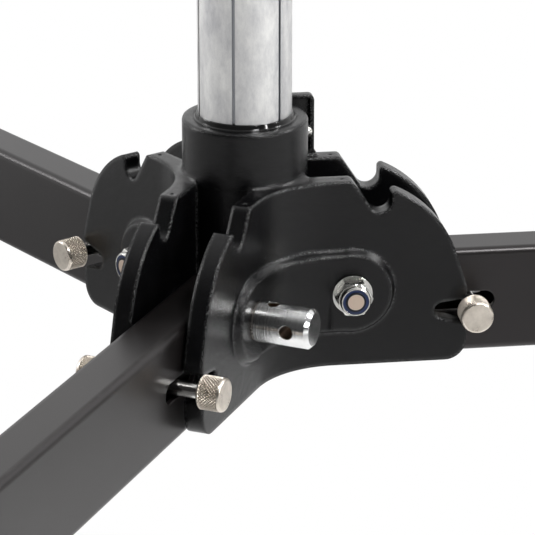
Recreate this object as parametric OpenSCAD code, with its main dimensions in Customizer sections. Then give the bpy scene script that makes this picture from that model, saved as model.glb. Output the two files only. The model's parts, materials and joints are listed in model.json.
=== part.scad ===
// Roller stand for lights: cast hub, three folding legs on braked casters, sliding column.
// All sizes in millimetres. The column axis is x = y = 0, the floor is z = 0 and the right leg runs along +X.

/* [Column] */
// Diameter of the grooved lower column tube
column_d = 37; // [36:0.25:37.5]
// Wall of the lower column tube
column_wall = 2.5; // [2.25:0.25:3]
// Height of the top of the lower column tube above the floor
column_top = 1000; // [900:10:1100]
// Width of the grooves in the column
groove_w = 1.2; // [0.8:0.1:2]
// Depth of the grooves in the column
groove_depth = 0.9; // [0.5:0.1:1.2]

/* [Hub] */
// Diameter of the round collar of the hub
collar_d = 49.6; // [48.6:0.2:50.2]
// Top of the collar above the centre line of the legs
collar_top = 78.8; // [77:0.2:82]
// Distance of the outer face of an ear from the middle of its leg
ear_face = 19.1; // [18.8:0.1:19.6]
// Distance of the inner face of an ear from the middle of its leg
ear_inside = 11.5; // [11.4:0.1:12]
// Height of the shelf of the ears above the centre line of the legs
shelf_z = 56; // [54:0.5:58]
// Depth of the ears below the centre line of the legs
ear_depth = 21.4; // [20.5:0.1:24]
// Radius of the hollow bend between two legs
bend_r = 37.8; // [36:0.2:39]
// Height of the raised pad round each pivot
pad_h = 3; // [2.5:0.1:3.4]
// Radius of the flat top of the pad
pad_r = 15.5; // [14.5:0.1:16]

/* [Legs] */
// Height of the centre line of the legs above the tops of the wheels
leg_rise = 52; // [50:1:60]
// Height of the rectangular leg tube
leg_h = 44; // [43:0.25:44.5]
// Width of the rectangular leg tube
leg_w = 20; // [19:0.25:20.5]
// Wall of the leg tube
leg_wall = 2; // [1.5:0.25:2.5]
// Distance of the outer end of the leg tube from the column axis
leg_reach = 540; // [460:5:620]
// Distance of the pivots from the column axis
pivot_u = 39.8; // [39.7:0.1:40.6]
// Height of the pivots above the centre line of the legs
pivot_z = 10.3; // [10:0.1:10.6]
// Diameter of the pivot bolts
pivot_d = 8; // [7.5:0.1:8.5]
// Length of the round stud beyond the pad of the front leg
stud_l = 23.3; // [22:0.1:30]
// Diameter of the round stud on the front leg
stud_d = 16; // [15.8:0.1:16.4]

/* [Locks] */
// Diameter of the lock pins
lock_pin_d = 6; // [5.5:0.1:6.2]
// Diameter of the knurled knobs on the lock pins
lock_knob_d = 13.2; // [12.6:0.1:14]
// Length of the knurled knobs
lock_knob_l = 10; // [9:0.1:12]
// Distance from a pivot to its lock pin in a notch
lock_radius = 38.7; // [38.5:0.1:39]
// How far the lock pins are drawn out of their notches
lock_draw = 12.2; // [12.2:0.1:13]
// Height of the slot for the lock pin in the leg
slot_h = 8; // [7.5:0.1:9]

/* [Casters] */
// Diameter of the caster wheels
wheel_d = 100; // [90:1:112]
// Width of the tyres
tyre_w = 28; // [26:0.5:30]
// Distance of the wheel axle behind the swivel axis
trail = 30; // [27:0.5:32]

/* [Risers] */
// How far the first riser stands out of the column when it is pushed in
riser_one_out = 60; // [50:5:80]
// How far the second riser stands out of the first one when it is pushed in
riser_two_out = 70; // [60:5:90]
// Length of the first riser tube
riser_one_l = 680; // [620:10:700]
// Length of the second riser tube
riser_two_l = 690; // [620:10:700]
// Diameter of the first riser tube
riser_one_d = 30; // [29:0.25:30.5]
// Diameter of the second riser tube
riser_two_d = 25; // [24:0.25:25.25]
// Diameter of the socket at the top
socket_d = 28.6; // [28.2:0.1:29]
// Diameter of the spigot at the top
spigot_d = 16; // [15.8:0.1:16.4]

/* [Hidden] */

$fn = 96;
eps = 0.01;
// clearance of a turning or sliding fit, on the radius
fit = 0.05;
// air between bodies that only pass each other
air = 0.4;

leg_line = wheel_d + leg_rise;
column_r = column_d / 2;
bushing_r = column_r + 1.6;
collar_r = collar_d / 2;
bend_d = (ear_face + bend_r) / sin(60);
lock_drop = asin(pivot_z / lock_radius);
lock_home_u = pivot_u + lock_radius * cos(lock_drop);
lock_rest_u = lock_home_u + lock_draw;
fold = 88;
fold_seat_u = pivot_u + lock_radius * cos(fold - lock_drop);
fold_seat_z = pivot_z + lock_radius * sin(fold - lock_drop);
rim_r = 44.6;
ear_end = 86.8;
slot_end = 100;
seat_r = 4.6;
leg_start = pivot_u - sqrt(pow(pivot_u - collar_r - 0.5, 2) - pow(leg_h / 2 - pivot_z, 2));
pad_face = ear_face + pad_h;
// round core that the slots leave, a little inside the collar
core_r = collar_r - 0.2;
socket_u = leg_reach + 15;
wheel_r = wheel_d / 2;
stem_r = 6;
leg_azimuths = [0, 120, 240];
groove_azimuth = 9.4;

// Puts a piece drawn for the right leg at one of the three legs.
module at_leg(azimuth) {
  rotate([0, 0, azimuth]) translate([0, 0, leg_line]) children();
}

// Draws a flat outline given in distance from the column and height, thick from v0 to v1 across the leg.
module across(v0, v1) {
  translate([0, v1, 0]) rotate([90, 0, 0]) linear_extrude(height = v1 - v0) children();
}

// A round bar across the leg from v0 to v1.
module bar(u, z, v0, v1, r) {
  translate([u, v0, z]) rotate([-90, 0, 0]) cylinder(r = r, h = v1 - v0);
}

// Flat shape whose corners [x, y, radius] are rounded with true arcs; hollow marks the inside corners.
function turn(a, b, c) = (b[0] - a[0]) * (c[1] - b[1]) - (b[1] - a[1]) * (c[0] - b[0]);
function way(a, b) = [b[0] - a[0], b[1] - a[1]] / norm([b[0] - a[0], b[1] - a[1]]);
function half(a, b, c) = acos(max(-1, min(1, way(b, a) * way(b, c)))) / 2;
function cut(a, b, c) = b[2] > 0 ? b[2] / tan(half(a, b, c)) : 0;
function middle(a, b, c) = [b[0], b[1]]
  + (way(b, a) + way(b, c)) / norm(way(b, a) + way(b, c)) * b[2] / sin(half(a, b, c));
module rounded_shape(p) {
  n = len(p);
  difference() {
    union() {
      polygon([for (i = [0 : n - 1]) let (a = p[(i + n - 1) % n], b = p[i], c = p[(i + 1) % n])
        for (q = b[2] > 0
          ? [[b[0], b[1]] + way(b, a) * cut(a, b, c), [b[0], b[1]] + way(b, c) * cut(a, b, c)]
          : [[b[0], b[1]]]) q]);
      for (i = [0 : n - 1]) let (a = p[(i + n - 1) % n], b = p[i], c = p[(i + 1) % n])
        if (b[2] > 0 && turn(a, b, c) > 0) translate(middle(a, b, c)) circle(r = b[2]);
    }
    for (i = [0 : n - 1]) let (a = p[(i + n - 1) % n], b = p[i], c = p[(i + 1) % n])
      if (b[2] > 0 && turn(a, b, c) < 0) translate(middle(a, b, c)) circle(r = b[2]);
  }
}

// Outline of one ear seen from the side of its leg.
module ear_outline() {
  flank_n = [0.835, 0.551];
  flank_u = fold_seat_u - seat_r * flank_n[0];
  flank_z = fold_seat_z - seat_r * flank_n[1];
  flank_t = (shelf_z - flank_z) / 0.835;
  corner_u = flank_u - flank_t * 0.551;
  notch_r = lock_pin_d / 2 + 0.5;
  // rounded tip of the horn over the upper notch
  tip_r = 1.6;
  tip_u = fold_seat_u + seat_r + tip_r;
  tip_z = pivot_z + sqrt(pow(rim_r - tip_r, 2) - pow(tip_u - pivot_u, 2));
  tip_way = [tip_u - pivot_u, tip_z - pivot_z] / (rim_r - tip_r);
  rim_u = pivot_u + tip_way[0] * rim_r * 1.05;
  rim_z = pivot_z + tip_way[1] * rim_r * 1.05;
  difference() {
    union() {
      // shelf and root of the ear
      rounded_shape([
        [20, -ear_depth, 0], [60, -ear_depth, 0], [60, 30, 0], [flank_u, flank_z, 0],
        [corner_u, shelf_z, 2.4], [20, shelf_z, 0]
      ]);
      // round rim about the pivot
      intersection() {
        translate([pivot_u, pivot_z]) circle(r = rim_r, $fn = 160);
        translate([42, -ear_depth]) square([60, 90]);
      }
      // lug with the outer notch
      rounded_shape([
        [60, -ear_depth, 0], [ear_end, -ear_depth, 8.5], [ear_end, -6, 1.4], [lock_home_u, -notch_r, 0],
        [lock_home_u, notch_r, 0], [ear_end, 4.8, 1.4], [ear_end, 9.5, 5],
        [pivot_u + rim_r * cos(16.5), pivot_z + rim_r * sin(16.5), 0], [60, 20, 0]
      ]);
    }
    // notch for the open leg
    translate([lock_home_u, 0]) circle(r = notch_r);
    polygon([
      [lock_home_u, notch_r], [ear_end - 1.6, notch_r + (4.8 - notch_r) * 0.835],
      [ear_end - 1.6, -notch_r - (6 - notch_r) * 0.835], [lock_home_u, -notch_r]
    ]);
    // notch for the folded leg
    translate([fold_seat_u, fold_seat_z]) circle(r = seat_r);
    polygon([
      [corner_u, shelf_z], [flank_u, flank_z], [fold_seat_u, fold_seat_z],
      [fold_seat_u + seat_r, fold_seat_z], [fold_seat_u + seat_r, tip_z], [tip_u, tip_z],
      [rim_u, rim_z], [rim_u, 80], [corner_u - 2, 80], [corner_u - 2, shelf_z]
    ]);
  }
  translate([tip_u, tip_z]) circle(r = tip_r);
}

// Plan of the hub between the legs: three arms joined by hollow bends.
module hub_plan() {
  difference() {
    union() {
      circle(r = collar_r);
      for (a = leg_azimuths) rotate(a) translate([0, -ear_face]) square([36, 2 * ear_face]);
      for (a = leg_azimuths) rotate(a + 60)
        polygon([[0, 0], [36, -21], [36, 21]]);
    }
    for (a = leg_azimuths) rotate(a + 60) translate([bend_d, 0]) circle(r = bend_r, $fn = 240);
  }
}

// Cross section of the raised band, from the ear face outwards.
module band_section(root) {
  foot = pad_r + 2 + root * 2 / pad_h;
  polygon([
    [root, pivot_z - foot], [-pad_h, pivot_z - pad_r], [-pad_h, pivot_z + pad_r], [root, pivot_z + foot]
  ]);
}

// Half of the raised pad on one ear: sign is the side of the leg.
module pad(side) {
  translate([pivot_u, side * ear_face, pivot_z]) rotate([-side * 90, 0, 0]) {
    translate([0, 0, -1]) cylinder(r1 = pad_r + 2.3 + 2 / pad_h, r2 = pad_r + 0.3, h = pad_h + 1);
  }
  tangent_u = bend_d / 2;
  rotate([0, 0, side > 0 ? 0 : 180])
  translate([side > 0 ? tangent_u - 4 : -pivot_u, ear_face, 0])
  rotate([90, 0, 90]) linear_extrude(height = pivot_u - tangent_u + 4)
    mirror([1, 0]) band_section(1);
}

module hub_casting() color("#1c1c1e") difference() {
  union() {
    // core with the three webs
    translate([0, 0, leg_line - ear_depth]) linear_extrude(height = ear_depth + shelf_z) hub_plan();
    // collar
    translate([0, 0, leg_line]) rotate_extrude() polygon([
      [0, 0], [collar_r, 0], [collar_r, collar_top - 1.2], [collar_r - 0.35, collar_top - 0.35],
      [collar_r - 1.2, collar_top], [0, collar_top]
    ]);
    // hollow fillet between the collar and the webs
    intersection() {
      translate([0, 0, leg_line + shelf_z - 1]) difference() {
        cylinder(r = collar_r + 2.4, h = 3.4);
        translate([0, 0, 3.4]) rotate_extrude() translate([collar_r + 2.4, 0]) circle(r = 2.4);
      }
      translate([0, 0, leg_line]) linear_extrude(height = shelf_z + 10) difference() {
        hub_plan();
        for (a = leg_azimuths) rotate(a) translate([0, -ear_inside]) square([60, 2 * ear_inside]);
      }
    }
    // six ears
    for (a = leg_azimuths) at_leg(a) {
      across(ear_inside, ear_face) ear_outline();
      across(-ear_face, -ear_inside) ear_outline();
      pad(1);
      pad(-1);
    }
    // raised band through the hollow bends
    for (a = leg_azimuths) rotate([0, 0, a + 60]) translate([bend_d, 0, leg_line])
      rotate([0, 0, 150]) rotate_extrude(angle = 60, $fn = 240) translate([bend_r + 0.02, 0]) band_section(1);
    lug();
  }
  // bore for the bushing and the column
  translate([0, 0, leg_line - 60]) cylinder(r = bushing_r, h = 200);
  for (a = leg_azimuths) at_leg(a) {
    // slot for the leg, which leaves the round core
    difference() {
      translate([0, -ear_inside, -60]) cube([90, 2 * ear_inside, 60 + shelf_z + eps]);
      translate([0, 0, -70]) cylinder(r = core_r, h = 200);
    }
    // pivot hole
    bar(pivot_u, pivot_z, -40, 40, pivot_d / 2);
    // small cast marks near the ends of the shelves
    for (s = [-1, 1]) translate([pivot_u - 3.4, s * (ear_inside + ear_face) / 2, shelf_z - 0.5])
      cylinder(r = 0.8, h = 2, $fn = 24);
  }
  // hole for the lug screw
  translate([0, 0, leg_line]) bar(screw_u, screw_z, 10, 30, 1.5);
}

// Upright lug beside the collar, on the rear ear of the right leg, hollow towards the front.
lug_u = 29.8;
lug_top = collar_top + 2.7;
screw_u = 26.6;
screw_z = 66.4;
module lug() {
  translate([0, 0, leg_line]) difference() {
    across(15, ear_face) rounded_shape([
      [16, 40, 0], [lug_u + 1.6, 40, 0], [lug_u + 1.6, shelf_z, 0], [lug_u, shelf_z + 2.6, 0],
      [lug_u, lug_top, 2.2], [16, lug_top, 0]
    ]);
    difference() {
      translate([18, 10, shelf_z + 2]) cube([lug_u - 1.6 - 18, 8, lug_top - 1.2 - shelf_z - 2]);
      bar(screw_u, screw_z, 0, 30, 2.9);
    }
  }
}

module lug_screw() color("#b9b1a2") translate([screw_u, 15 - 2, leg_line + screw_z]) rotate([-90, 0, 0])
  rotate_extrude() polygon([[0, 0], [1.2, 0], [1.9, 0.35], [2.35, 1], [2.35, 2], [1.5, 2], [1.5, 7], [0, 7]]);

module column_bushing() color("#111112") translate([0, 0, leg_line]) rotate_extrude() polygon([
  [column_r, collar_top - 40], [bushing_r, collar_top - 40], [bushing_r, collar_top],
  [bushing_r - 0.5, collar_top + 0.2], [column_r + 0.5, collar_top + 1.9], [column_r, collar_top + 1.9]
]);

module column_tube() color("#c9c9c6") translate([0, 0, leg_line - ear_depth + 4])
  linear_extrude(height = column_top - leg_line + ear_depth - 4) difference() {
    circle(r = column_r, $fn = 180);
    circle(r = column_r - column_wall, $fn = 180);
    for (k = [0 : 5]) rotate(groove_azimuth + 60 * k)
      translate([column_r - groove_depth, -groove_w / 2]) square([groove_depth + 1, groove_w]);
  }

// Ring that carries the foot of the column in the hub.
module column_foot_plug() color("#111112") translate([0, 0, leg_line - ear_depth]) rotate_extrude() polygon([
  [0, 0], [bushing_r, 0], [bushing_r, 34], [column_r, 34], [column_r, 4], [0, 4]
]);

// Right and left pivots: a bolt whose nut sits on the side given by side.
module pivot_bolt(side) {
  mirror([0, side > 0 ? 1 : 0, 0]) {
    bar(pivot_u, pivot_z, -(pad_face + 9.8), pad_face + 2, pivot_d / 2);
    translate([pivot_u, pad_face + 1.5, pivot_z]) rotate([-90, 0, 0]) cylinder(r = 7.5, h = 5.4, $fn = 6);
  }
}
nut_h = 8.2;
nut_ring_r = 5.2;
module pivot_nut(side) {
  mirror([0, side > 0 ? 0 : 1, 0]) translate([pivot_u, pad_face + 1.5, pivot_z]) rotate([-90, 0, 0])
  difference() {
    union() {
      intersection() {
        cylinder(r = 7.5, h = 6, $fn = 6);
        rotate_extrude() polygon([[0, 0], [6.9, 0], [7.6, 0.5], [7.6, 5], [6.4, 5.9], [0, 5.9]]);
      }
      rotate_extrude() polygon([
        [0, 4], [6.2, 4], [6.2, nut_h - 1.1], [6, nut_h - 0.5], [5.6, nut_h], [0, nut_h]
      ]);
    }
    translate([0, 0, -1]) cylinder(r = pivot_d / 2, h = 12);
    translate([0, 0, nut_h - 1.6]) cylinder(r = nut_ring_r, h = 4);
  }
}
// Nylon ring that keeps the nut from turning.
module nut_ring(side) {
  mirror([0, side > 0 ? 0 : 1, 0]) translate([pivot_u, pad_face + 1.5 + nut_h - 1.6, pivot_z]) rotate([-90, 0, 0])
  difference() {
    cylinder(r = nut_ring_r, h = 1.3);
    translate([0, 0, -1]) cylinder(r = pivot_d / 2, h = 4);
  }
}
module washer(side, sign) {
  mirror([0, side * sign > 0 ? 0 : 1, 0]) translate([pivot_u, pad_face, pivot_z]) rotate([-90, 0, 0])
  difference() {
    cylinder(r = 8, h = 1.5);
    translate([0, 0, -1]) cylinder(r = pivot_d / 2, h = 4);
  }
}

// Front pivot: the round stud with two cross holes is its head.
module pivot_stud() difference() {
  union() {
    bar(pivot_u, pivot_z, -(pad_face + 9.8), pad_face + 1, pivot_d / 2);
    bar(pivot_u, pivot_z, pad_face, pad_face + 1, stud_d / 2 - 0.4);
    bar(pivot_u, pivot_z, pad_face + 0.9, pad_face + stud_l - 1.5, stud_d / 2);
    translate([pivot_u, pad_face + stud_l - 1.5, pivot_z]) rotate([-90, 0, 0])
      cylinder(r1 = stud_d / 2, r2 = stud_d / 2 - 1.5, h = 1.5);
  }
  translate([pivot_u, pad_face + 14.5, pivot_z]) rotate([0, 90, 0]) cylinder(r = 2.8, h = 40, center = true);
  translate([pivot_u, pad_face + 6.5, pivot_z - 20]) cylinder(r = 2.4, h = 40);
}

// Cross section of the leg tube or of what fills it.
module rounded_box(w, h, r) {
  union() {
    square([w - 2 * r, h], center = true);
    square([w, h - 2 * r], center = true);
    for (i = [-1, 1]) for (j = [-1, 1]) translate([i * (w / 2 - r), j * (h / 2 - r)]) circle(r = r);
  }
}
module leg_tube() difference() {
  translate([leg_start, 0, 0]) rotate([90, 0, 90]) linear_extrude(height = leg_reach - leg_start) difference() {
    rounded_box(leg_w, leg_h, 3);
    rounded_box(leg_w - 2 * leg_wall, leg_h - 2 * leg_wall, 1);
  }
  bar(pivot_u, pivot_z, -20, 20, pivot_d / 2 + 2);
  across(-20, 20) union() {
    translate([lock_home_u - slot_h / 2, -slot_h / 2]) translate([slot_h / 2, 0]) square([slot_end - slot_h / 2 - lock_home_u, slot_h]);
    translate([lock_home_u, 0]) circle(r = slot_h / 2);
    translate([slot_end - slot_h / 2, 0]) circle(r = slot_h / 2);
  }
}
// The two flanged plastic bushes of one leg.
module pivot_bushes() for (s = [0, 1]) mirror([0, s, 0])
  translate([pivot_u, 2, pivot_z]) rotate([-90, 0, 0]) difference() {
    union() {
      cylinder(r = pivot_d / 2 + 2, h = leg_w / 2 - 2 + eps);
      translate([0, 0, leg_w / 2 - 2]) cylinder(r = 9, h = ear_inside - air - leg_w / 2);
    }
    translate([0, 0, -1]) cylinder(r = pivot_d / 2 + fit, h = 30);
  }

// Cast end of the leg that carries the caster stem.
module leg_end() difference() {
  union() {
    translate([leg_reach - 30, 0, 0]) rotate([90, 0, 90]) linear_extrude(height = 30)
      rounded_box(leg_w - 2 * leg_wall, leg_h - 2 * leg_wall, 1);
    translate([leg_reach, 0, 0]) rotate([90, 0, 90]) linear_extrude(height = 15)
      rounded_box(leg_w, leg_h, 3);
    translate([socket_u, 0, 0]) rotate_extrude() polygon([
      [0, -leg_h / 2], [13.8, -leg_h / 2], [14.8, -leg_h / 2 + 1], [14.8, leg_h / 2 - 3],
      [12, leg_h / 2], [0, leg_h / 2]
    ]);
  }
  translate([socket_u, 0, -leg_h / 2 - 1]) cylinder(r = stem_r + fit, h = leg_h - 4);
}

module lock_pin() bar(lock_rest_u, 0, -ear_face - lock_knob_l + 2, ear_face + lock_knob_l - 2, lock_pin_d / 2);
module lock_knobs() for (s = [0, 1]) mirror([0, s, 0])
  translate([lock_rest_u, ear_face + 0.5, 0]) rotate([-90, 0, 0]) difference() {
    rotate_extrude() polygon([
      [0, 0], [lock_knob_d / 2 - 0.6, 0], [lock_knob_d / 2, 0.6], [lock_knob_d / 2, lock_knob_l - 0.6],
      [lock_knob_d / 2 - 0.6, lock_knob_l], [0, lock_knob_l]
    ]);
    translate([0, 0, -1]) cylinder(r = lock_pin_d / 2, h = lock_knob_l - 2.5 + 1);
  }

// Swivelling fork of one caster, its swivel axis at u = 0, z measured from the floor.
fork_in = tyre_w / 2 + 3;
fork_top = leg_line - leg_h / 2 - air;
module caster_fork() difference() {
  union() {
    cylinder_between(0, 0, fork_top - 6, fork_top + leg_h - 8, stem_r);
    translate([0, 0, fork_top - 7]) cylinder(r = 17, h = 7);
    translate([0, 0, fork_top - 13]) cylinder(r = 21, h = 6 + eps);
    for (s = [0, 1]) mirror([0, s, 0]) {
      across(fork_in, fork_in + 3) union() {
        translate([-trail, wheel_r]) circle(r = 11);
        polygon([
          [-trail - 11, wheel_r], [-trail + 11, wheel_r - 2], [21, fork_top - 14],
          [21, fork_top - 9], [-20, fork_top - 9], [pedal_u - 2, pedal_z + 5.6],
          [pedal_u - 5.6, pedal_z - 2]
        ]);
        translate([pedal_u, pedal_z]) circle(r = 6);
      }
    }
    translate([-24, -fork_in - 3, fork_top - 13]) cube([45, 2 * fork_in + 6, 4]);
  }
  bar(-trail, wheel_r, -40, 40, 4);
  bar(pedal_u, pedal_z, -40, 40, 2 + fit);
}
module cylinder_between(x, y, z0, z1, r) {
  translate([x, y, z0]) cylinder(r = r, h = z1 - z0);
}
module caster_axle() {
  bar(-trail, wheel_r, -fork_in - 3, fork_in + 3, 4);
  for (s = [0, 1]) mirror([0, s, 0])
    translate([-trail, fork_in + 3 - eps, wheel_r]) rotate([-90, 0, 0]) cylinder(r = 6.5, h = 4.5, $fn = 6);
}
module wheel() translate([-trail, 0, wheel_r]) rotate([90, 0, 0]) difference() {
  rotate_extrude() polygon([
    [4 + fit, -tyre_w / 2 - 2.4], [11, -tyre_w / 2 - 2.4], [11, -5], [wheel_r - 16, -4],
    [wheel_r - 14, -tyre_w / 2 + 2], [wheel_r - 10, -tyre_w / 2 + 2],
    [wheel_r - 10, tyre_w / 2 - 2], [wheel_r - 14, tyre_w / 2 - 2], [wheel_r - 16, 4],
    [11, 5], [11, tyre_w / 2 + 2.4], [4 + fit, tyre_w / 2 + 2.4]
  ]);
}
module tyre() translate([-trail, 0, wheel_r]) rotate([90, 0, 0]) rotate_extrude() polygon([
  [wheel_r - 10, -tyre_w / 2 + 1], [wheel_r - 6, -tyre_w / 2], [wheel_r - 2.5, -tyre_w / 2 + 1.5],
  [wheel_r - 0.6, -tyre_w / 2 + 5], [wheel_r, -5], [wheel_r, 5], [wheel_r - 0.6, tyre_w / 2 - 5],
  [wheel_r - 2.5, tyre_w / 2 - 1.5], [wheel_r - 6, tyre_w / 2], [wheel_r - 10, tyre_w / 2 - 1]
]);
// Foot pedal of the brake, turning on a pin at the back of the fork.
pedal_u = -trail - 10;
pedal_z = fork_top - 20;
shoe_r = norm([pedal_u + trail, pedal_z - wheel_r]) - wheel_r - 0.35;
module brake_pedal() {
  difference() {
    union() {
      bar(pedal_u, pedal_z, -fork_in + 0.5, fork_in - 0.5, 4);
      across(-11, 11) polygon([
        [pedal_u - 3, pedal_z - 3], [pedal_u + 3, pedal_z + 3], [pedal_u - 8, pedal_z + 5.5],
        [pedal_u - 36, pedal_z - 4], [pedal_u - 35, pedal_z - 7], [pedal_u - 8, pedal_z + 1]
      ]);
      // shoe that presses on the tyre
      across(-11, 11) intersection() {
        translate([pedal_u, pedal_z]) circle(r = shoe_r);
        polygon([
          [pedal_u - 3, pedal_z + 1], [pedal_u - 2, pedal_z - 20],
          [pedal_u + 5, pedal_z - 20], [pedal_u + 3, pedal_z + 1]
        ]);
      }
    }
  }
  bar(pedal_u, pedal_z, -fork_in - 3, fork_in + 3, 2);
}

// Places a caster piece under the outer end of a leg; caster pieces measure height from the floor.
module at_caster(azimuth) {
  rotate([0, 0, azimuth]) translate([socket_u, 0, 0]) children();
}

// Height of a clamp knob above the top of the tube that carries its collar
clamp_z = 6;
// Clamp collar at the top of a tube, with a threaded boss for its knob.
module clamp_collar(z, tube_r, inner_r, azimuth) {
  rotate([0, 0, azimuth]) translate([0, 0, z]) difference() {
    union() {
      rotate_extrude() polygon([
        [0, -42], [tube_r + 4, -42], [tube_r + 5, -41], [tube_r + 5, 13], [tube_r + 3, 16], [0, 16]
      ]);
      translate([0, 0, clamp_z]) rotate([0, 90, 0]) cylinder(r = 9, h = tube_r + 16);
    }
    translate([0, 0, -60]) cylinder(r = tube_r, h = 60);
    translate([0, 0, -1]) cylinder(r = inner_r + fit, h = 30);
    translate([0, 0, clamp_z]) rotate([0, 90, 0]) cylinder(r = 4, h = 80);
  }
}
// Hand knob with three lobes on a threaded shank, pressing on the inner tube.
module hand_knob(z, start, seat, azimuth) {
  rotate([0, 0, azimuth]) translate([0, 0, z]) rotate([0, 90, 0]) {
    translate([0, 0, start]) cylinder(r = 4 - fit, h = seat + 3 - start);
    translate([0, 0, seat + 1]) cylinder(r = 9, h = 8);
    translate([0, 0, seat + 6]) linear_extrude(height = 14) union() {
      circle(r = 13);
      for (a = [90, 210, 330]) rotate(a) translate([0, -6]) square([20, 12]);
      for (a = [90, 210, 330]) rotate(a) translate([20, 0]) circle(r = 6);
    }
  }
}

riser_one_r = riser_one_d / 2;
riser_two_r = riser_two_d / 2;
riser_one_top = column_top + riser_one_out;
riser_two_top = riser_one_top + riser_two_out;
// wall of the riser tubes
riser_wall = 1.5;
// Riser tube whose top is at the given height.
module riser(top, r, l) translate([0, 0, top - l]) difference() {
  cylinder(r = r, h = l);
  translate([0, 0, -1]) cylinder(r = r - riser_wall, h = l + 2);
}
module lower_collar() color("#1c1c1e") clamp_collar(column_top, column_r, riser_one_r, 60);
module lower_knob() color("#161617") hand_knob(column_top + clamp_z, riser_one_r + air, column_r + 16, 60);
module riser_one() color("#c9c9c6") riser(riser_one_top, riser_one_r, riser_one_l);
module upper_collar() color("#1c1c1e") clamp_collar(riser_one_top, riser_one_r, riser_two_r, 60);
module upper_knob() color("#161617") hand_knob(riser_one_top + clamp_z, riser_two_r + air, riser_one_r + 16, 60);
module riser_two() color("#c9c9c6") riser(riser_two_top, riser_two_r, riser_two_l);
module top_receiver() color("#1c1c1e") difference() {
  union() {
    translate([0, 0, riser_two_top]) rotate_extrude() polygon([
      [0, -40], [17, -40], [18, -39], [18, -12], [20.5, -8], [20.5, 68], [19.5, 70], [0, 70]
    ]);
    rotate([0, 0, 60]) translate([0, 0, riser_two_top + 45]) rotate([0, 90, 0]) cylinder(r = 9, h = 32);
    // lug that carries the spigot
    rotate([0, 0, 240]) translate([0, 0, riser_two_top - 6]) rotate([0, 90, 0]) cylinder(r = 11, h = 32);
  }
  translate([0, 0, riser_two_top - 60]) cylinder(r = riser_two_r, h = 60);
  translate([0, 0, riser_two_top + 4]) cylinder(r = socket_d / 2, h = 80);
  rotate([0, 0, 60]) translate([0, 0, riser_two_top + 45]) rotate([0, 90, 0]) cylinder(r = 4, h = 80);
}
module receiver_knob() color("#161617") hand_knob(riser_two_top + 45, socket_d / 2 + air, 32, 60);
module top_spigot() color("#c9c9c6") rotate([0, 0, 240]) translate([0, 0, riser_two_top - 6]) rotate([0, 90, 0]) difference() {
  union() {
    translate([0, 0, 32]) cylinder(r = spigot_d / 2, h = 38);
    translate([0, 0, 70 - eps]) cylinder(r1 = spigot_d / 2, r2 = spigot_d / 2 - 1.5, h = 1.5);
  }
  translate([0, 0, 46]) rotate_extrude() polygon([[6.5, 0], [9, -2.5], [9, 8.5], [6.5, 6]]);
}

hub_casting();
column_bushing();
column_tube();
column_foot_plug();
lug_screw();
color("#c8c6c0") at_leg(0) pivot_bolt(-1);  // pivot_bolt_right
color("#c8c6c0") at_leg(120) pivot_bolt(1);  // pivot_bolt_left
color("#c8c6c0") at_leg(240) pivot_stud();  // pivot_stud_front
color("#c8c6c0") at_leg(0) pivot_nut(-1);  // pivot_nut_right
color("#c8c6c0") at_leg(120) pivot_nut(1);  // pivot_nut_left
color("#c8c6c0") at_leg(240) pivot_nut(-1);  // pivot_nut_front
color("#1a4fb0") at_leg(0) nut_ring(-1);  // nut_ring_right
color("#1a4fb0") at_leg(120) nut_ring(1);  // nut_ring_left
color("#1a4fb0") at_leg(240) nut_ring(-1);  // nut_ring_front
color("#c8c6c0") at_leg(0) { washer(1, 1); washer(1, -1); }  // pivot_washers_right
color("#c8c6c0") at_leg(120) { washer(1, 1); washer(1, -1); }  // pivot_washers_left
color("#c8c6c0") at_leg(240) washer(1, -1);  // pivot_washers_front
color("#232324") at_leg(0) leg_tube();  // leg_tube_right
color("#232324") at_leg(120) leg_tube();  // leg_tube_left
color("#232324") at_leg(240) leg_tube();  // leg_tube_front
color("#111112") at_leg(0) pivot_bushes();  // pivot_bushes_right
color("#111112") at_leg(120) pivot_bushes();  // pivot_bushes_left
color("#111112") at_leg(240) pivot_bushes();  // pivot_bushes_front
color("#1c1c1e") at_leg(0) leg_end();  // leg_end_right
color("#1c1c1e") at_leg(120) leg_end();  // leg_end_left
color("#1c1c1e") at_leg(240) leg_end();  // leg_end_front
color("#b8b3a8") at_leg(0) lock_pin();  // lock_pin_right
color("#b8b3a8") at_leg(120) lock_pin();  // lock_pin_left
color("#b8b3a8") at_leg(240) lock_pin();  // lock_pin_front
color("#b8b3a8") at_leg(0) lock_knobs();  // lock_knobs_right
color("#b8b3a8") at_leg(120) lock_knobs();  // lock_knobs_left
color("#b8b3a8") at_leg(240) lock_knobs();  // lock_knobs_front
color("#a9a9a6") at_caster(0) caster_fork();  // caster_fork_right
color("#a9a9a6") at_caster(120) caster_fork();  // caster_fork_left
color("#a9a9a6") at_caster(240) caster_fork();  // caster_fork_front
color("#c8c6c0") at_caster(0) caster_axle();  // caster_axle_right
color("#c8c6c0") at_caster(120) caster_axle();  // caster_axle_left
color("#c8c6c0") at_caster(240) caster_axle();  // caster_axle_front
color("#3a3a3c") at_caster(0) wheel();  // wheel_right
color("#3a3a3c") at_caster(120) wheel();  // wheel_left
color("#3a3a3c") at_caster(240) wheel();  // wheel_front
color("#202020") at_caster(0) tyre();  // tyre_right
color("#202020") at_caster(120) tyre();  // tyre_left
color("#202020") at_caster(240) tyre();  // tyre_front
color("#a02020") at_caster(0) brake_pedal();  // brake_pedal_right
color("#a02020") at_caster(120) brake_pedal();  // brake_pedal_left
color("#a02020") at_caster(240) brake_pedal();  // brake_pedal_front
lower_collar();
lower_knob();
riser_one();
upper_collar();
upper_knob();
riser_two();
top_receiver();
receiver_knob();
top_spigot();
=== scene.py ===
import json
import math

import bpy
from mathutils import Matrix, Vector


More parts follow.
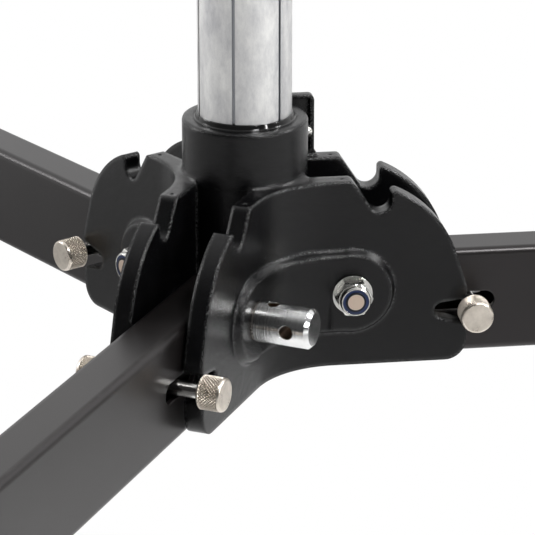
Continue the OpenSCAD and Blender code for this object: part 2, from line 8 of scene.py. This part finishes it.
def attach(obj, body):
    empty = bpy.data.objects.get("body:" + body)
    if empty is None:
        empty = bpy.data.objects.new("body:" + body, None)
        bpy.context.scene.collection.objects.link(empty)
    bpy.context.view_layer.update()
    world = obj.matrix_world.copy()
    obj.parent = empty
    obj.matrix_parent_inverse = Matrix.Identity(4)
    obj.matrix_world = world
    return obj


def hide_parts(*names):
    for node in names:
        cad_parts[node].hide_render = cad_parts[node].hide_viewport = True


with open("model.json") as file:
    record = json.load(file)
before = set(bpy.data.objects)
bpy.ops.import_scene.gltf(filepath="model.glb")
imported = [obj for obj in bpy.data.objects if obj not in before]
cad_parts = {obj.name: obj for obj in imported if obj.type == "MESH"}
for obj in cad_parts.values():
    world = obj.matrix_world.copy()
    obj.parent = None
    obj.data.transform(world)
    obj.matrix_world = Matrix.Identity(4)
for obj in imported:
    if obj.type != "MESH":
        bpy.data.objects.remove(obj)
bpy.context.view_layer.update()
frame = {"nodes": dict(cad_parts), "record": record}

NODES = frame["nodes"]
# direction of each leg, in degrees from the right leg
LEGS = {"right": 0.0, "left": 120.0, "front": 240.0}

# Sizes of the part that the looks and the new pieces need, in metres

# height of the legs' centre line above the floor
LEG_LINE = 0.152
# distance of a leg's pivot from the column's axis, and its height above the leg line
PIVOT_U = 0.0398
PIVOT_Z = 0.0103
# distance of a lock pin from the column's axis, with the pin drawn out as it is stored
LOCK_U = 0.0893
# distance of an ear's outer face from the middle of its leg
EAR_FACE = 0.0191
COLUMN_R = 0.0185
STUD_R = 0.008
# distance of the stud's end from the middle of its leg
STUD_END = 0.0454


# Shader maths written as ordinary sums

class Val:
    """The output of a shader node, which can be added to, multiplied and so on."""

    def __init__(self, kit, socket):
        self.kit = kit
        self.socket = socket

    def __add__(self, other):
        return self.kit.math("ADD", self, other)

    def __radd__(self, other):
        return self.kit.math("ADD", other, self)

    def __sub__(self, other):
        return self.kit.math("SUBTRACT", self, other)

    def __rsub__(self, other):
        return self.kit.math("SUBTRACT", other, self)

    def __mul__(self, other):
        return self.kit.math("MULTIPLY", self, other)

    def __truediv__(self, other):
        return self.kit.math("DIVIDE", self, other)

    def __pow__(self, other):
        return self.kit.math("POWER", self, other)


class Kit:
    """Builds the nodes of one material."""

    def __init__(self, name):
        self.material = bpy.data.materials.new(name)
        self.material.use_nodes = True
        self.tree = self.material.node_tree
        self.tree.nodes.clear()
        self.out = self.tree.nodes.new("ShaderNodeOutputMaterial")

    def node(self, kind, settings=None, **inputs):
        made = self.tree.nodes.new(kind)
        for key, value in (settings or {}).items():
            setattr(made, key, value)
        for key, value in inputs.items():
            self.feed(made, key.replace("_", " "), value)
        return made

    def feed(self, made, key, value):
        """Joins a value to an input, or sets it. A key of digits counts the inputs from 0."""
        socket = made.inputs[int(key)] if key.isdigit() else made.inputs[key]
        if isinstance(value, Val):
            self.tree.links.new(value.socket, socket)
        else:
            socket.default_value = value

    def val(self, made, key=0):
        return Val(self, made.outputs[key])

    def math(self, name, a, b):
        made = self.node("ShaderNodeMath", {"operation": name})
        self.feed(made, "0", a)
        self.feed(made, "1", b)
        return self.val(made)

    def dot(self, a, b):
        made = self.node("ShaderNodeVectorMath", {"operation": "DOT_PRODUCT"})
        self.feed(made, "0", a)
        self.feed(made, "1", b)
        return self.val(made, "Value")

    def clamp(self, value):
        return self.val(self.node("ShaderNodeClamp", None, Value=value))

    def ramp(self, value, low, high):
        """0 at low, 1 at high, with a straight line between."""
        return self.clamp((value - low) / (high - low))

    def position(self):
        return self.val(self.node("ShaderNodeTexCoord"), "Object")

    def coordinate(self, letter):
        return self.val(self.node("ShaderNodeSeparateXYZ", None, Vector=self.position()), letter)

    def noise(self, scale, detail=3.0, rough=0.55, stretch=None):
        place = self.position()
        if stretch:
            place = self.val(self.node("ShaderNodeMapping", None, Vector=place, Scale=stretch))
        return self.val(self.node("ShaderNodeTexNoise", None,
                                  Vector=place, Scale=scale, Detail=detail, Roughness=rough))

    def mix(self, factor, a, b):
        """Colour a where the factor is 0, colour b where it is 1."""
        made = self.node("ShaderNodeMix", {"data_type": "RGBA"})
        self.feed(made, "0", factor)
        for key, colour in (("6", a), ("7", b)):
            self.feed(made, key, colour if isinstance(colour, Val) else (*colour, 1.0))
        return self.val(made, 2)

    def bump(self, height, strength, distance, normal=None):
        made = self.node("ShaderNodeBump", None, Height=height, Strength=strength, Distance=distance)
        if normal is not None:
            self.feed(made, "Normal", normal)
        return self.val(made)

    def round_edges(self, radius):
        return self.val(self.node("ShaderNodeBevel", {"samples": 6}, Radius=radius))

    def edge(self, rounded):
        """1 along an edge that the rounding turns, 0 on a flat face."""
        face = self.val(self.node("ShaderNodeNewGeometry"), "Normal")
        return self.clamp((1.0 - self.dot(rounded, face)) * 6.0)

    def principled(self, **inputs):
        made = self.node("ShaderNodeBsdfPrincipled")
        for key, value in inputs.items():
            self.feed(made, key.replace("_", " "), (*value, 1.0) if isinstance(value, tuple) else value)
        self.tree.links.new(made.outputs[0], self.out.inputs["Surface"])
        return self.material


def leg_way(azimuth, along, across):
    """Direction given along and across a leg."""
    turn = math.radians(azimuth)
    return (
        along * math.cos(turn) - across * math.sin(turn),
        along * math.sin(turn) + across * math.cos(turn),
        0.0,
    )


def from_column(kit):
    """Distance from the axis of the column."""
    x = kit.coordinate("X")
    y = kit.coordinate("Y")
    return (x * x + y * y) ** 0.5


def along_axis(kit, azimuth):
    """Distance along the pivot axis of the leg at this azimuth, from the middle of the leg."""
    return kit.dot(kit.position(), leg_way(azimuth, 0.0, 1.0))


def from_axis(kit, azimuth):
    """Distance from the pivot axis of the leg at this azimuth."""
    out = kit.dot(kit.position(), leg_way(azimuth, 1.0, 0.0)) - PIVOT_U
    up = kit.coordinate("Z") - (LEG_LINE + PIVOT_Z)
    return (out * out + up * up) ** 0.5


# Looks

ZINC_DULL = (0.66, 0.65, 0.62)
ZINC_BRIGHT = (0.84, 0.83, 0.80)


def cast_paint():
    """Semi-gloss black coat over cast metal. Along the edges its grain carries painted light grey glints
    beside the real bump highlights.
    """
    kit = Kit("black cast paint")
    rounded = kit.round_edges(0.0025)
    grain = kit.noise(scale=1900.0, detail=3.0, rough=0.65)
    swell = kit.noise(scale=240.0, detail=3.0, rough=0.5)
    patches = kit.noise(scale=38.0, detail=3.0, rough=0.5)
    # painted highlight: mask of grain specks along the rounded edges, where light grey glints are
    # painted
    painted_glint_mask = kit.ramp(grain, 0.52, 0.62) * kit.edge(rounded)
    deep_black = (0.0018, 0.0018, 0.0021)
    soft_black = (0.0030, 0.0030, 0.0034)
    # colour of the painted highlight glints on the edges
    painted_glint = (0.14, 0.14, 0.14)
    colour = kit.mix(kit.ramp(patches, 0.35, 0.7), deep_black, soft_black)
    colour = kit.mix(painted_glint_mask, colour, painted_glint)
    normal = kit.bump(grain, strength=0.55, distance=0.00012, normal=rounded)
    normal = kit.bump(swell, strength=0.25, distance=0.0004, normal=normal)
    rough = 0.15 + patches * 0.08 + grain * 0.08
    return kit.principled(Base_Color=colour, Roughness=rough, Specular_IOR_Level=0.35, Normal=normal)


def leg_paint():
    """Smooth satin black with a slight warm tone."""
    kit = Kit("satin leg paint")
    rounded = kit.round_edges(0.0008)
    fine = kit.noise(scale=1500.0, detail=2.0)
    patches = kit.noise(scale=16.0, detail=3.0)
    dark = (0.0050, 0.0042, 0.0042)
    light = (0.0080, 0.0068, 0.0066)
    warm_shine = (1.0, 0.955, 0.965)
    colour = kit.mix(kit.ramp(patches, 0.3, 0.7), dark, light)
    normal = kit.bump(fine, strength=0.12, distance=0.00008, normal=rounded)
    rough = 0.24 + patches * 0.12 + fine * 0.05
    return kit.principled(Base_Color=colour, Roughness=rough, Specular_IOR_Level=0.52,
                          Specular_Tint=warm_shine, Normal=normal)


def bright_tube():
    """Plated tube with upright smoky blotches and painted shade in the groove bottoms."""
    kit = Kit("bright plated tube")
    cloud = kit.noise(scale=120.0, detail=6.0, rough=0.72, stretch=(1.0, 1.0, 0.45))
    wide = kit.noise(scale=34.0, detail=2.0, rough=0.5, stretch=(1.0, 1.0, 0.40))
    fine = kit.noise(scale=900.0, detail=2.0, rough=0.6, stretch=(1.0, 1.0, 0.10))
    smoky = (0.48, 0.48, 0.495)
    bright = (0.86, 0.855, 0.84)
    # painted shade: darker tone for the bottoms of the column's grooves
    groove_painted_shade = (0.34, 0.35, 0.37)
    blotch = kit.ramp(cloud * 0.7 + wide * 0.3, 0.34, 0.64)
    # mask of the groove bottoms, where the shade is painted
    groove = kit.ramp(from_column(kit), COLUMN_R - 0.0001, COLUMN_R - 0.0003)
    colour = kit.mix(blotch, smoky, bright)
    colour = kit.mix(groove, colour, groove_painted_shade)
    normal = kit.bump(fine, strength=0.06, distance=0.00005)
    normal = kit.bump(cloud, strength=0.10, distance=0.0003, normal=normal)
    rough = 0.20 + cloud * 0.22 + fine * 0.05
    return kit.principled(Base_Color=colour, Metallic=1.0, Roughness=rough, Normal=normal)


def plated(name, low, high, rough):
    """Plain plated metal whose tone and shine vary a little."""
    kit = Kit(name)
    rounded = kit.round_edges(0.0003)
    cloud = kit.noise(scale=180.0, detail=4.0, rough=0.6)
    fine = kit.noise(scale=2200.0, detail=2.0)
    colour = kit.mix(kit.ramp(cloud, 0.3, 0.7), low, high)
    normal = kit.bump(fine, strength=0.10, distance=0.00004, normal=rounded)
    return kit.principled(Base_Color=colour, Metallic=1.0, Roughness=rough + cloud * 0.14, Normal=normal)


def turned_stud(azimuth):
    """Plated bar with the fine rings that a lathe leaves, and threaded cross holes, brown inside."""
    kit = Kit("turned stud")
    rounded = kit.round_edges(0.0003)
    cloud = kit.noise(scale=160.0, detail=4.0, rough=0.6)
    rings = kit.val(kit.node("ShaderNodeTexNoise", {"noise_dimensions": "1D"},
                             W=along_axis(kit, azimuth), Scale=5200.0))
    thread = kit.noise(scale=1300.0, detail=1.0, rough=0.5, stretch=(1.0, 1.0, 0.2))
    inside = kit.ramp(from_axis(kit, azimuth), STUD_R - 0.0002, STUD_R - 0.0006)
    inside = inside * kit.ramp(along_axis(kit, azimuth), STUD_END - 0.0016, STUD_END - 0.0024)
    dull = (0.74, 0.75, 0.75)
    bright = (0.88, 0.88, 0.87)
    brown = (0.17, 0.105, 0.062)
    colour = kit.mix(kit.ramp(cloud, 0.3, 0.7), dull, bright)
    colour = kit.mix(inside, colour, brown)
    normal = kit.bump(rings, strength=0.38, distance=0.00008, normal=rounded)
    normal = kit.bump(inside * thread, strength=0.5, distance=0.0003, normal=normal)
    rough = 0.12 + cloud * 0.12 + inside * 0.2
    return kit.principled(Base_Color=colour, Metallic=1.0, Roughness=rough, Normal=normal)


def bolt_steel(azimuth):
    """Plated bolt whose sawn end is dull and beige, inside a ring of painted shade over the thread."""
    kit = Kit("bolt steel")
    rounded = kit.round_edges(0.0003)
    cloud = kit.noise(scale=420.0, detail=4.0, rough=0.6)
    reach = from_axis(kit, azimuth)
    end = kit.ramp(reach, 0.0033, 0.0031)
    # painted shade: dark ring over the thread and the gap around the sawn end
    thread = kit.ramp(reach, 0.00315, 0.0033) * kit.ramp(reach, 0.0046, 0.0045)
    beige = (0.62, 0.50, 0.41)
    # colour of the painted shade in the thread
    thread_painted_shade = (0.035, 0.035, 0.04)
    colour = kit.mix(kit.ramp(cloud, 0.3, 0.7), ZINC_DULL, ZINC_BRIGHT)
    colour = kit.mix(end, colour, beige)
    colour = kit.mix(thread, colour, thread_painted_shade)
    normal = kit.bump(cloud, strength=0.20, distance=0.0001, normal=rounded)
    rough = 0.20 + cloud * 0.10 + end * 0.20 + thread * 0.2
    return kit.principled(Base_Color=colour, Metallic=1.0, Roughness=rough, Normal=normal)


def moulded(name, low, high, rough, grain=0.15):
    """Moulded plastic or rubber with a fine skin."""
    kit = Kit(name)
    rounded = kit.round_edges(0.0005)
    cloud = kit.noise(scale=70.0, detail=3.0)
    fine = kit.noise(scale=1800.0, detail=2.0)
    colour = kit.mix(kit.ramp(cloud, 0.3, 0.7), low, high)
    normal = kit.bump(fine, strength=grain, distance=0.0001, normal=rounded)
    return kit.principled(Base_Color=colour, Roughness=rough + cloud * 0.12, Normal=normal)


def even(tone):
    return (tone, tone, tone)


LOOKS = {
    "casting": cast_paint(),
    "leg_paint": leg_paint(),
    "chrome_tube": bright_tube(),
    "plated_steel": plated("bright zinc", ZINC_DULL, ZINC_BRIGHT, 0.12),
    "nickel": plated("dull nickel", (0.60, 0.54, 0.47), (0.84, 0.77, 0.68), 0.22),
    "zinc_fork": plated("zinc sheet", (0.52, 0.52, 0.51), (0.70, 0.70, 0.69), 0.24),
    "black_plastic": moulded("black nylon", even(0.008), even(0.013), 0.26, 0.10),
    "grey_plastic": moulded("grey wheel plastic", (0.12, 0.12, 0.125), (0.17, 0.17, 0.175), 0.34),
    "red_plastic": moulded("red pedal plastic", (0.30, 0.012, 0.012), (0.42, 0.02, 0.02), 0.32),
    "blue_nylon": moulded("blue nylon", (0.004, 0.016, 0.07), (0.006, 0.024, 0.11), 0.35),
    "tyre_rubber": moulded("tyre rubber", (0.022, 0.022, 0.023), (0.036, 0.036, 0.037), 0.62, 0.4),
}
# pieces that look unlike the rest of their slot
OWN_LOOKS = {
    "column_bushing": moulded("glossy black bushing", even(0.006), even(0.010), 0.04, 0.03),
    "pivot_stud_front": turned_stud(LEGS["front"]),
    "pivot_bolt_right": bolt_steel(LEGS["right"]),
    "pivot_bolt_left": bolt_steel(LEGS["left"]),
}
for part in frame["record"]["subparts"]:
    piece = NODES[part["node"]]
    piece.data.materials.clear()
    piece.data.materials.append(OWN_LOOKS.get(part["node"], LOOKS[part["material_slot"]]))


# Knurled knobs on the lock pins

KNOB_R = 0.0066
KNOB_L = 0.010
# gap between a knob and the ear
KNOB_GAP = 0.0005
# the knurl's start and end along the knob
KNURL_FROM = 0.0010
KNURL_TO = 0.0088
# the knurl fades out over this length at both ends
KNURL_FADE = 0.0004
KNURL_ROWS = 64
KNURLS = 32
KNURL_DEPTH = 0.00068
# how far the grooves turn as they run along the knob
KNURL_LEAN = 0.95
STEPS_PER_KNURL = 10
# radius of the rounded shoulder, its steps, and how far it lies under the knurl
SHOULDER = 0.0010
SHOULDER_STEPS = 6
SHOULDER_DROP = 0.0001
# how far the flat end is smaller than the knob
END_INSET = 0.0020


def knob_outline():
    """Rings of the knob: distance from the ear, radius, and whether the ring is knurled."""
    rings = [(0.0, KNOB_R - 0.0012, False), (0.0004, KNOB_R - 0.0006, False)]
    for row in range(KNURL_ROWS + 1):
        rings.append((KNURL_FROM + (KNURL_TO - KNURL_FROM) * row / KNURL_ROWS, KNOB_R, True))
    for step in range(SHOULDER_STEPS + 1):
        turn = math.radians(90 * step / SHOULDER_STEPS)
        along = KNOB_L - SHOULDER * (1 - math.sin(turn))
        radius = KNOB_R - SHOULDER_DROP - SHOULDER * (1 - math.cos(turn))
        rings.append((along, radius, False))
    rings.append((KNOB_L, KNOB_R - END_INSET, False))
    return rings


def groove(turns):
    """0 in a groove, rising to 1 halfway between two grooves."""
    part = turns - math.floor(turns)
    return 1 - abs(2 * part - 1)


def knurl_depth(along, share):
    """Depth of the crossed grooves at a place along and around the knob."""
    lean = along / (2 * math.pi * KNOB_R) * KNURL_LEAN
    ridge = min(groove(KNURLS * (share + lean)), groove(KNURLS * (share - lean)))
    fade = min(1.0, (along - KNURL_FROM) / KNURL_FADE, (KNURL_TO - along) / KNURL_FADE)
    return KNURL_DEPTH * fade * (1 - min(1.0, ridge * 1.35))


def leg_place(azimuth, u, v, z):
    """A point given along, across and above a leg's centre line."""
    turn = Matrix.Rotation(math.radians(azimuth), 4, "Z")
    return turn @ Vector((u, v, z + LEG_LINE))


def knurled_knob(name, azimuth, side, body):
    around = KNURLS * STEPS_PER_KNURL
    outline = knob_outline()
    points = []
    for along, radius, knurled in outline:
        for step in range(around):
            share = step / around
            r = radius - (knurl_depth(along, share) if knurled else 0.0)
            angle = 2 * math.pi * share
            v = side * (EAR_FACE + KNOB_GAP + along)
            points.append(leg_place(azimuth, LOCK_U + r * math.cos(angle), v, r * math.sin(angle)))
    last = len(outline) - 1
    faces = []
    for index in range(last):
        for step in range(around):
            a = index * around + step
            b = index * around + (step + 1) % around
            faces.append((a, b, b + around, a + around))
    faces.append(tuple(range(around))[::-1])
    faces.append(tuple(last * around + step for step in range(around)))
    if side < 0:
        faces = [face[::-1] for face in faces]
    mesh = bpy.data.meshes.new(name)
    mesh.from_pydata(points, [], faces)
    mesh.materials.append(LOOKS["nickel"])
    knob = bpy.data.objects.new(name, mesh)
    bpy.context.scene.collection.objects.link(knob)
    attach(knob, body)
    return knob


for leg, azimuth in LEGS.items():
    near = knurled_knob("knurled_knob_near_" + leg, azimuth, -1, "lock_" + leg)
    far = knurled_knob("knurled_knob_far_" + leg, azimuth, 1, "lock_" + leg)
    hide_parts("lock_knobs_" + leg)
    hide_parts("lock_knobs_" + leg)


# Camera, matched to the photograph

PHOTO_WIDTH = 535.0
FOCAL_PIXELS = 2776.44
SENSOR_WIDTH = 36.0
# height of the camera above the legs' centre line
CAMERA_RISE = 0.41173
HEADING = math.radians(82.35)
PITCH = math.radians(-20.9)

camera_data = bpy.data.cameras.new("camera")
camera_data.sensor_width = SENSOR_WIDTH
camera_data.lens = FOCAL_PIXELS / PHOTO_WIDTH * SENSOR_WIDTH
camera_data.clip_end = 50.0
camera = bpy.data.objects.new("camera", camera_data)
bpy.context.scene.collection.objects.link(camera)
ahead = Vector((
    math.cos(HEADING) * math.cos(PITCH),
    math.sin(HEADING) * math.cos(PITCH),
    math.sin(PITCH),
))
camera.location = (-0.1295, -1.0309, CAMERA_RISE + LEG_LINE)
camera.rotation_euler = ahead.to_track_quat("-Z", "Y").to_euler()
bpy.context.scene.camera = camera


# Floor and studio light

FLOOR_REACH = 12.0
FLOOR_DROP = 0.0005
PALE = 0.86
# tone of the ring of painted shade on the floor around the part
PAINTED_SHADE_RING = 0.34


def floor_look():
    """White where the camera sees it. What the part mirrors is pale, with a ring of painted shade
    around.
    """
    kit = Kit("pale floor")
    seen = kit.val(kit.node("ShaderNodeLightPath"), "Is Camera Ray")
    white = kit.node("ShaderNodeEmission", None, Color=(1.0, 1.0, 1.0, 1.0), Strength=1.0)
    near = kit.node("ShaderNodeBsdfDiffuse", None, Color=(*even(PALE), 1.0))
    dark = kit.node("ShaderNodeBsdfDiffuse", None, Color=(*even(PAINTED_SHADE_RING), 1.0))
    out = from_column(kit)
    # painted shade: darker ring on the floor, darkest from 0.42 to 0.62 m out from the column
    ring = kit.ramp(out, 0.16, 0.42) * kit.ramp(out, 0.90, 0.62)
    pale = kit.node("ShaderNodeMixShader")
    kit.feed(pale, "0", ring)
    kit.feed(pale, "1", kit.val(near))
    kit.feed(pale, "2", kit.val(dark))
    blend = kit.node("ShaderNodeMixShader")
    kit.feed(blend, "0", seen)
    kit.feed(blend, "1", kit.val(pale))
    kit.feed(blend, "2", kit.val(white))
    kit.tree.links.new(blend.outputs[0], kit.out.inputs["Surface"])
    return kit.material


floor_mesh = bpy.data.meshes.new("floor")
floor_corners = [(x * FLOOR_REACH, y * FLOOR_REACH, 0) for x, y in ((-1, -1), (1, -1), (1, 1), (-1, 1))]
floor_mesh.from_pydata(floor_corners, [], [(0, 1, 2, 3)])
floor_mesh.materials.append(floor_look())
floor = bpy.data.objects.new("floor", floor_mesh)
floor.location = (0, 0, -FLOOR_DROP)
bpy.context.scene.collection.objects.link(floor)

HUB = (0.0, 0.0, 0.16)


def area(name, place, width, height, power):
    """Soft lamp that points at the hub."""
    data = bpy.data.lights.new(name, "AREA")
    data.shape = "RECTANGLE"
    data.size = width
    data.size_y = height
    data.energy = power
    lamp = bpy.data.objects.new(name, data)
    lamp.location = place
    aim = Vector(HUB) - Vector(place)
    lamp.rotation_euler = aim.to_track_quat("-Z", "Y").to_euler()
    bpy.context.scene.collection.objects.link(lamp)


area("key above the front", (0.45, -0.85, 1.65), 0.26, 0.20, 16.0)
area("front right strip", (1.35, -1.40, 1.00), 0.10, 0.9, 12.0)
area("right above", (1.50, -0.10, 1.30), 0.18, 0.50, 14.0)
area("left behind", (-1.50, 0.70, 0.95), 0.20, 0.90, 9.0)

# brightness of the room on the camera's side and of the white wall behind the object
ROOM = 0.07
WALL = 1.00


def studio_world():
    """White to the camera. The part mirrors a white wall behind it and a dim room in front."""
    world = bpy.data.worlds.new("studio")
    world.use_nodes = True
    bpy.context.scene.world = world
    tree = world.node_tree
    tree.nodes.clear()
    output = tree.nodes.new("ShaderNodeOutputWorld")
    path = tree.nodes.new("ShaderNodeLightPath")
    shown = tree.nodes.new("ShaderNodeBackground")
    shown.inputs["Color"].default_value = (1, 1, 1, 1)
    lit = tree.nodes.new("ShaderNodeBackground")
    lit.inputs["Color"].default_value = (1, 1, 1, 1)
    place = tree.nodes.new("ShaderNodeTexCoord")
    along = tree.nodes.new("ShaderNodeVectorMath")
    along.operation = "DOT_PRODUCT"
    along.inputs[1].default_value = (math.cos(HEADING), math.sin(HEADING), 0.25)
    tree.links.new(place.outputs["Generated"], along.inputs[0])
    level = tree.nodes.new("ShaderNodeMapRange")
    level.interpolation_type = "SMOOTHSTEP"
    level.inputs["From Min"].default_value = -0.5
    level.inputs["From Max"].default_value = 0.8
    level.inputs["To Min"].default_value = ROOM
    level.inputs["To Max"].default_value = WALL
    tree.links.new(along.outputs["Value"], level.inputs["Value"])
    tree.links.new(level.outputs["Result"], lit.inputs["Strength"])
    choose = tree.nodes.new("ShaderNodeMixShader")
    tree.links.new(path.outputs["Is Camera Ray"], choose.inputs[0])
    tree.links.new(lit.outputs[0], choose.inputs[1])
    tree.links.new(shown.outputs[0], choose.inputs[2])
    tree.links.new(choose.outputs[0], output.inputs["Surface"])


studio_world()

view = bpy.context.scene.view_settings
view.view_transform = "Standard"
